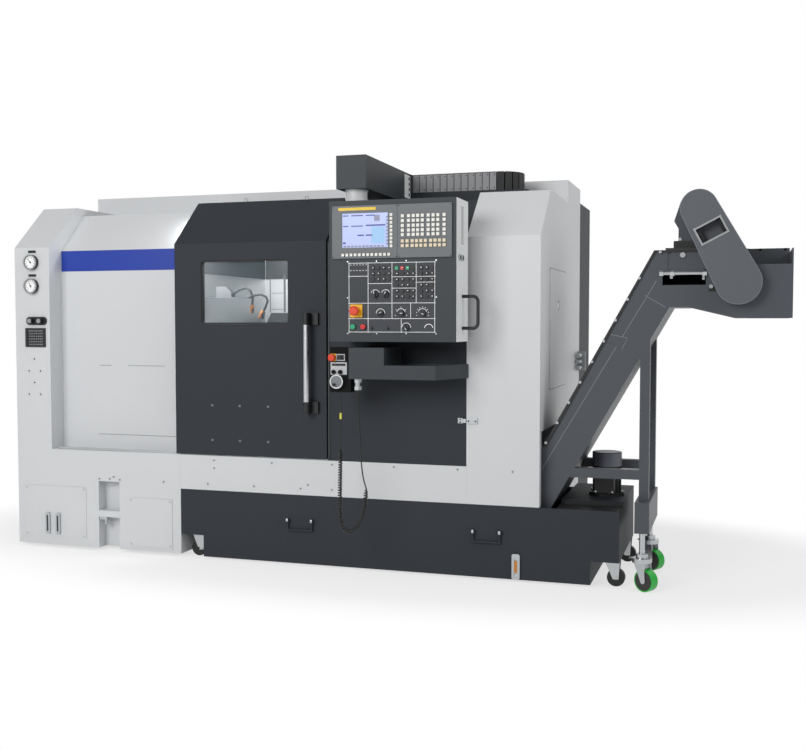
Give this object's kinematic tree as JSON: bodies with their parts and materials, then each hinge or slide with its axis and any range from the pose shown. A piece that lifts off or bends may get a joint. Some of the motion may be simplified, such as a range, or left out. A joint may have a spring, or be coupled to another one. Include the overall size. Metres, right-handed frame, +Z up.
{
  "type": "cnc turning lathe",
  "caption": "Slant-bed turning lathe with a sliding door, a hung control pendant, a rolling coolant tank and an inclined chip conveyor.",
  "frame": {"origin": "on the floor under the middle of the machine's outline", "axes": "+X along the spindle from the headstock to the conveyor, +Y from the front to the back, +Z up"},
  "size_m": [3.616, 1.769, 1.812],
  "materials": {
    "white_paint": "textured powder coat, satin",
    "charcoal_paint": "textured powder coat, satin",
    "pendant_paint": "fine textured powder coat",
    "conveyor_paint": "semi-gloss enamel",
    "cast_iron": "painted and machined casting",
    "bright_steel": "ground and brushed steel",
    "dark_steel": "oiled steel",
    "aluminium": "satin anodised",
    "black_plastic": "moulded, matt",
    "screen_plastic": "moulded, fine texture",
    "clear_window": "laminated safety glass",
    "red_plastic": "moulded, gloss",
    "green_plastic": "moulded, gloss",
    "cord_rubber": "extruded sheath",
    "green_tread": "cast polyurethane tread",
    "caster_rubber": "moulded tread"
  },
  "bodies": {
    "machine": {"bed_casting": "cast_iron", "levelling_feet": "bright_steel", "headstock": "cast_iron", "inner_lining": "bright_steel", "coolant_hoses": "black_plastic", "left_cabinet": "white_paint", "lower_left_cover": "white_paint", "headstock_cover": "white_paint", "access_panels": "white_paint", "front_sill": "white_paint", "right_front_cover": "white_paint", "right_side_panel": "white_paint", "roof_panel": "charcoal_paint", "rear_cover": "white_paint", "electrical_cabinet": "charcoal_paint", "guide_rails": "bright_steel", "front_panel": "charcoal_paint", "energy_chain": "black_plastic", "tool_tray": "pendant_paint", "cord_gland": "bright_steel", "handset_cord": "cord_rubber", "handset_curl": "cord_rubber", "handset_body": "black_plastic", "cabinet_gauges": "black_plastic", "sight_gauges": "aluminium", "coolant_tank": "charcoal_paint", "tank_casters": "caster_rubber", "coolant_pump": "black_plastic", "pipe_bracket": "bright_steel", "conveyor_casing": "conveyor_paint", "chain_guard": "conveyor_paint", "drive_chain": "dark_steel", "drive_sprockets": "dark_steel", "conveyor_motor": "conveyor_paint", "conveyor_support": "conveyor_paint"},
    "spindle": {"chuck": "bright_steel", "chuck_jaws": "bright_steel"},
    "saddle": {"saddle": "cast_iron"},
    "cross_slide": {"cross_slide": "cast_iron"},
    "turret": {"turret_disc": "bright_steel"},
    "tailstock": {"tailstock": "cast_iron"},
    "quill": {"quill": "bright_steel"},
    "door": {"door_panel": "charcoal_paint", "door_window": "clear_window", "handle_brackets": "black_plastic", "door_handle": "aluminium"},
    "arm": {"pendant_arm": "pendant_paint"},
    "pendant": {"pendant_box": "pendant_paint", "screen_unit": "screen_plastic", "operator_panel": "pendant_paint", "pendant_handle": "black_plastic"},
    "emergency_stop": {"estop_button": "red_plastic"},
    "start_key": {"start_button": "green_plastic"},
    "stop_key": {"stop_button": "red_plastic"},
    "handset_dial": {"handset_wheel": "aluminium"},
    "front_caster": {"caster_fork_front": "bright_steel"},
    "front_caster_wheel": {"caster_wheel_front": "green_tread"},
    "rear_caster": {"caster_fork_rear": "bright_steel"},
    "rear_caster_wheel": {"caster_wheel_rear": "green_tread"}
  },
  "joints": [
    {"name": "door_slide", "type": "slide", "parent": "machine", "child": "door", "axis": [-1, 0, 0], "range_m": [0, 0.62]},
    {"name": "spindle_spin", "type": "hinge", "parent": "machine", "child": "spindle", "pos_m": [-0.903, -0.1925, 0.945], "axis": [1, 0, 0], "continuous": true},
    {"name": "saddle_slide", "type": "slide", "parent": "machine", "child": "saddle", "axis": [-1, 0, 0], "range_m": [0, 0.18]},
    {"name": "cross_travel", "type": "slide", "parent": "saddle", "child": "cross_slide", "axis": [0, -0.7071, -0.7071], "range_m": [0, 0.15]},
    {"name": "turret_index", "type": "hinge", "parent": "cross_slide", "child": "turret", "pos_m": [-0.428, 0.04792, 1.18542], "axis": [1, 0, 0], "continuous": true},
    {"name": "tailstock_slide", "type": "slide", "parent": "machine", "child": "tailstock", "axis": [-1, 0, 0], "range_m": [0, 0.2]},
    {"name": "quill_slide", "type": "slide", "parent": "tailstock", "child": "quill", "axis": [-1, 0, 0], "range_m": [0, 0.12]},
    {"name": "arm_slide", "type": "slide", "parent": "machine", "child": "arm", "axis": [1, 0, 0], "range_m": [-0.1, 0.15], "deforming": ["energy_chain"]},
    {"name": "pendant_swivel", "type": "hinge", "parent": "arm", "child": "pendant", "pos_m": [0.04, -0.7475, 1.618], "axis": [0, 0, 1], "range_deg": [-90, 0]},
    {"name": "emergency_press", "type": "slide", "parent": "pendant", "child": "emergency_stop", "axis": [0, 1, 0], "range_m": [0, 0.006]},
    {"name": "start_press", "type": "slide", "parent": "pendant", "child": "start_key", "axis": [0, 1, 0], "range_m": [0, 0.004], "stiffness_N_per_m": 400},
    {"name": "stop_press", "type": "slide", "parent": "pendant", "child": "stop_key", "axis": [0, 1, 0], "range_m": [0, 0.004], "stiffness_N_per_m": 400},
    {"name": "handset_spin", "type": "hinge", "parent": "machine", "child": "handset_dial", "pos_m": [-0.02, -0.8175, 0.858], "axis": [0, 1, 0], "continuous": true},
    {"name": "front_caster_swivel", "type": "hinge", "parent": "machine", "child": "front_caster", "pos_m": [1.236, -0.5925, 0.2], "axis": [0, 0, 1], "continuous": true},
    {"name": "front_caster_roll", "type": "hinge", "parent": "front_caster", "child": "front_caster_wheel", "pos_m": [1.25445, -0.60448, 0.046], "axis": [0.5446, 0.8387, 0], "continuous": true},
    {"name": "rear_caster_swivel", "type": "hinge", "parent": "machine", "child": "rear_caster", "pos_m": [1.236, -0.1875, 0.2], "axis": [0, 0, 1], "continuous": true},
    {"name": "rear_caster_roll", "type": "hinge", "parent": "rear_caster", "child": "rear_caster_wheel", "pos_m": [1.25445, -0.19948, 0.046], "axis": [0.5446, 0.8387, 0], "continuous": true}
  ]
}
